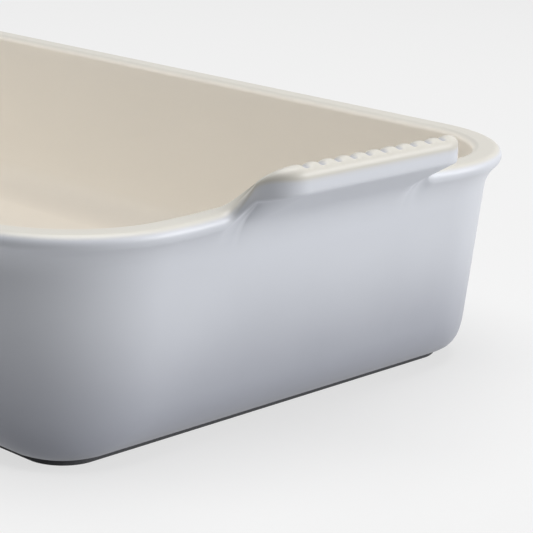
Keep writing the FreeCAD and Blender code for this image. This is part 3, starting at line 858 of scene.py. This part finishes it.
def blue_grey_glaze(colours, dish):
    """Fired satin glaze over stoneware: pale blue grey, darker towards the base with painted shade, darker in
    the grip valleys with painted shade and pooled glaze, white on edges.
    """
    material, tree, shader = new_material("Satin blue grey stoneware glaze")
    place = add(tree, "ShaderNodeTexCoord").outputs["Object"]
    height = add(tree, "ShaderNodeSeparateXYZ", {0: place}).outputs["Z"]
    cloud = noise(tree, place, OUTER_CLOUD, CLOUD_DETAIL)
    # Painted shade towards the base: lower blue grey at the foot, turning to the upper colour above a
    # wavering line
    wavy = maths(tree, "ADD", height, ranged(tree, cloud, end=(-BASE_SHADE_WAVER, BASE_SHADE_WAVER)))
    run = ranged(tree, wavy, start=(BASE_SHADE_START, BASE_SHADE_END * dish.rim_height), kind="SMOOTHSTEP")
    body = mixed(tree, run, colours.lower, colours.upper)
    edged = mixed(tree, share_of(tree, THIN), body, colours.edge)
    # Painted shade and pooled glaze darken the grip's valleys towards the lower blue grey
    deep = ranged(tree, share_of(tree, POOLED_VALLEY_SHADE), start=(POOLED_SHADE_START, 1), end=(0, POOLED_SHADE_LIMIT))
    ridged = mixed(tree, deep, edged, colours.lower)
    satin(tree, shader, ridged, cloud, noise(tree, place, OUTER_RIPPLE, RIPPLE_DETAIL))
    return material


def cream_glaze(colours, dish):
    """Fired satin glaze inside: warm cream with faint clouds, darker on the floor with pooled glaze and
    painted shade, white on the lip.
    """
    material, tree, shader = new_material("Satin cream stoneware glaze")
    place = add(tree, "ShaderNodeTexCoord").outputs["Object"]
    height = add(tree, "ShaderNodeSeparateXYZ", {0: place}).outputs["Z"]
    cloud = noise(tree, place, LINER_CLOUD, CLOUD_DETAIL)
    deep = tuple(share * CLOUD_SHADE for share in colours.cream)
    clouded = mixed(tree, ranged(tree, cloud, end=(0, CLOUD_LIMIT)), colours.cream, deep)
    # Pooled glaze and painted shade darken the well down to the floor
    floor = dish.floor_height
    pooled_and_shaded = ranged(tree, height, start=(floor + dish.well_radius, floor), kind="SMOOTHSTEP")
    body = mixed(tree, pooled_and_shaded, clouded, colours.pool)
    edged = mixed(tree, share_of(tree, THIN), body, colours.edge)
    satin(tree, shader, edged, cloud, noise(tree, place, LINER_RIPPLE, RIPPLE_DETAIL))
    return material


def bare_clay(colours):
    """Unglazed fired stoneware, ground at the foot: matt, with fine grit and darker specks, in a dark slate
    grey that is painted shade for the shadow under the base.
    """
    material, tree, shader = new_material("Bare fired stoneware clay")
    place = add(tree, "ShaderNodeTexCoord").outputs["Object"]
    grit = noise(tree, place, GRIT, GRIT_DETAIL)
    # The clay's dark slate grey is painted shade; the specks darken it at random
    dark = tuple(share * SPECK_SHADE for share in colours.clay)
    speck = mixed(tree, ranged(tree, grit, start=SPECK_RANGE), colours.clay, dark)
    tree.links.new(speck, shader.inputs["Base Color"])
    bump(tree, shader, grit, GRIT_STRENGTH, GRIT_HEIGHT)
    shader.inputs["Roughness"].default_value = CLAY_ROUGHNESS
    return material


class DISH_OT_outer_glaze(bpy.types.Operator):
    """Build the blue grey coat over the walls, the lip and both ridged wings"""

    bl_idname = "dish.outer_glaze"
    bl_label = "Outer Glaze"

    def execute(self, context):
        dish, wing = context.scene.dish_sizes, context.scene.dish_wings
        surface, grip, thin = outer_surface(dish, wing)
        piece = placed("outer_coat", ring_mesh("outer_coat", surface, {GRIP: grip, THIN: thin}))
        tree = ridge_tree()
        ridges = piece.modifiers.new("Grip ridges", "NODES")
        ridges.node_group = tree
        glaze = blue_grey_glaze(context.scene.dish_colours, dish)
        values = {
            "Pitch": wing.ridge_pitch, "Depth": wing.ridge_depth, "Valley width": wing.valley_width,
            "Valleys": wing.valley_count, "Glaze": glaze,
        }
        for socket in tree.interface.items_tree:
            if socket.name in values:
                ridges[socket.identifier] = values[socket.name]
        thickened(piece, dish.glaze_thickness)
        finished(piece, "blue_grey_glaze", "outer_glaze")
        return {"FINISHED"}


class DISH_OT_liner_glaze(bpy.types.Operator):
    """Build the cream coat over the inner half of the lip, the inner walls and the floor"""

    bl_idname = "dish.liner_glaze"
    bl_label = "Liner Glaze"

    def execute(self, context):
        dish, wing = context.scene.dish_sizes, context.scene.dish_wings
        surface, thin = liner_surface(dish, wing)
        piece = placed("liner_coat", ring_mesh("liner_coat", surface, {THIN: thin}, last=True))
        piece.data.materials.append(cream_glaze(context.scene.dish_colours, dish))
        thickened(piece, dish.glaze_thickness)
        finished(piece, "cream_glaze", "liner_glaze")
        return {"FINISHED"}


class DISH_OT_clay(bpy.types.Operator):
    """Build the clay of the tub, with its bare foot, and of both handles"""

    bl_idname = "dish.clay"
    bl_label = "Bare Clay"

    def execute(self, context):
        dish, wing = context.scene.dish_sizes, context.scene.dish_wings
        clay = bare_clay(context.scene.dish_colours)
        core = core_surface(dish, wing)
        pieces = {
            "stoneware_tub": ring_mesh("clay_tub", tub_surface(dish, wing), first=True, last=True),
            "handle_front": tube_mesh("clay_handle_front", core),
            "handle_rear": tube_mesh("clay_handle_rear", core * np.array([-1, -1, 1])),
        }
        for node, mesh in pieces.items():
            mesh.materials.append(clay)
            finished(placed(mesh.name, mesh), "bare_stoneware", node)
        return {"FINISHED"}


class DISH_OT_studio(bpy.types.Operator):
    """Set the floor, the light and the camera"""

    bl_idname = "dish.studio"
    bl_label = "Studio"

    def execute(self, context):
        scene = context.scene
        studio = scene.dish_studio
        scene.view_settings.view_transform = "Standard"
        self.floor()
        self.light(scene)
        self.camera(scene, studio)
        return {"FINISHED"}

    def floor(self):
        """A pale matt floor, which the camera sees as white paper with the dish's soft shadow."""
        mesh = bpy.data.meshes.new("floor")
        corners = [(x * FLOOR_REACH, y * FLOOR_REACH, 0) for x, y in ((-1, -1), (1, -1), (1, 1), (-1, 1))]
        mesh.from_pydata(corners, [], [(0, 1, 2, 3)])
        floor = placed("floor", mesh)
        material, tree, shader = new_material("Matt white paper sweep")
        tree.nodes.remove(shader)
        paper, shade = (
            add(tree, "ShaderNodeBsdfDiffuse", {"Color": (grey, grey, grey, 1)}).outputs[0]
            for grey in (FLOOR_BOUNCE, FLOOR_SHADE)
        )
        glow = add(tree, "ShaderNodeEmission", {"Color": (1, 1, 1, 1), "Strength": FLOOR_GLOW}).outputs[0]
        shown = add(tree, "ShaderNodeAddShader", {0: glow, 1: shade}).outputs[0]
        mix = add(tree, "ShaderNodeMixShader", {0: self.seen(tree), 1: paper, 2: shown}).outputs[0]
        tree.links.new(mix, tree.nodes["Material Output"].inputs["Surface"])
        mesh.materials.append(material)

    def seen(self, tree):
        """1 for what the camera sees, straight, mirrored or through a piece, and 0 for the light it sends."""
        path = add(tree, "ShaderNodeLightPath").outputs
        rays = path["Is Camera Ray"]
        for name in ("Is Glossy Ray", "Is Transmission Ray"):
            rays = maths(tree, "MAXIMUM", rays, path[name])
        return rays

    def light(self, scene):
        """A dim even world, a key softbox on the right and one overhead."""
        world = bpy.data.worlds.new("Studio")
        world.use_nodes = True
        scene.world = world
        tree = world.node_tree
        background = tree.nodes["Background"].inputs
        background["Color"].default_value = (1, 1, 1, 1)
        tree.links.new(ranged(tree, self.seen(tree), end=(WORLD_LIGHT, WORLD_SEEN)), background["Strength"])
        self.lamp(scene, "Key softbox", place=(2.1, 1.3, 0.65), sides=(1.8, 0.9), power=48)
        self.lamp(scene, "Overhead softbox", place=(0.0, -0.02, 1.9), sides=(1.7, 1.7), power=44)

    def lamp(self, scene, name, place, sides, power):
        """A softbox of two sides in metres and a power in watts, which faces the dish."""
        data = bpy.data.lights.new(name, "AREA")
        data.shape = "RECTANGLE"
        data.size, data.size_y = sides
        data.energy = power
        lamp = bpy.data.objects.new(name, data)
        lamp.location = place
        aim = Vector(scene.dish_studio.target) - lamp.location
        lamp.rotation_euler = aim.to_track_quat("-Z", "Y").to_euler()
        scene.collection.objects.link(lamp)

    def camera(self, scene, studio):
        """The scene's camera, turned round its target."""
        data = bpy.data.cameras.new("Camera")
        data.lens = studio.lens
        data.clip_start = CLIP_START
        camera = bpy.data.objects.new("Camera", data)
        turn, rise = studio.azimuth, studio.elevation
        back = Vector((math.sin(turn) * math.cos(rise), -math.cos(turn) * math.cos(rise), math.sin(rise)))
        right = Vector((math.cos(turn), math.sin(turn), 0))
        view = Matrix((right, back.cross(right), back)).transposed().to_4x4()
        place = Matrix.Translation(Vector(studio.target) + back * studio.distance)
        camera.matrix_world = place @ view @ Matrix.Rotation(studio.roll, 4, "Z")
        scene.collection.objects.link(camera)
        scene.camera = camera


class DISH_PT_panel(bpy.types.Panel):
    """Sizes, colours and steps of the dish"""

    bl_idname = "DISH_PT_panel"
    bl_label = "Baking Dish"
    bl_space_type = "VIEW_3D"
    bl_region_type = "UI"
    bl_category = "Dish"

    def draw(self, context):
        for settings in GROUPS:
            group = getattr(context.scene, settings)
            box = self.layout.box()
            for name in group.__annotations__:
                box.prop(group, name)
        for step in STEPS:
            self.layout.operator(step.bl_idname)


GROUPS = {
    "dish_sizes": DishSizes,
    "dish_wings": WingSizes,
    "dish_colours": GlazeColours,
    "dish_studio": StudioSettings,
}
STEPS = (DISH_OT_outer_glaze, DISH_OT_liner_glaze, DISH_OT_clay, DISH_OT_studio)


def register():
    for group in GROUPS.values():
        bpy.utils.register_class(group)
    for name, group in GROUPS.items():
        setattr(bpy.types.Scene, name, bpy.props.PointerProperty(type=group))
    for step in (*STEPS, DISH_PT_panel):
        bpy.utils.register_class(step)


def unregister():
    for step in (DISH_PT_panel, *reversed(STEPS)):
        bpy.utils.unregister_class(step)
    for name in GROUPS:
        delattr(bpy.types.Scene, name)
    for group in reversed(GROUPS.values()):
        bpy.utils.unregister_class(group)


def main():
    """Builds the dish and its studio."""
    register()
    bpy.ops.dish.outer_glaze()
    bpy.ops.dish.liner_glaze()
    bpy.ops.dish.clay()
    bpy.ops.dish.studio()


if __name__ == "__main__":
    main()
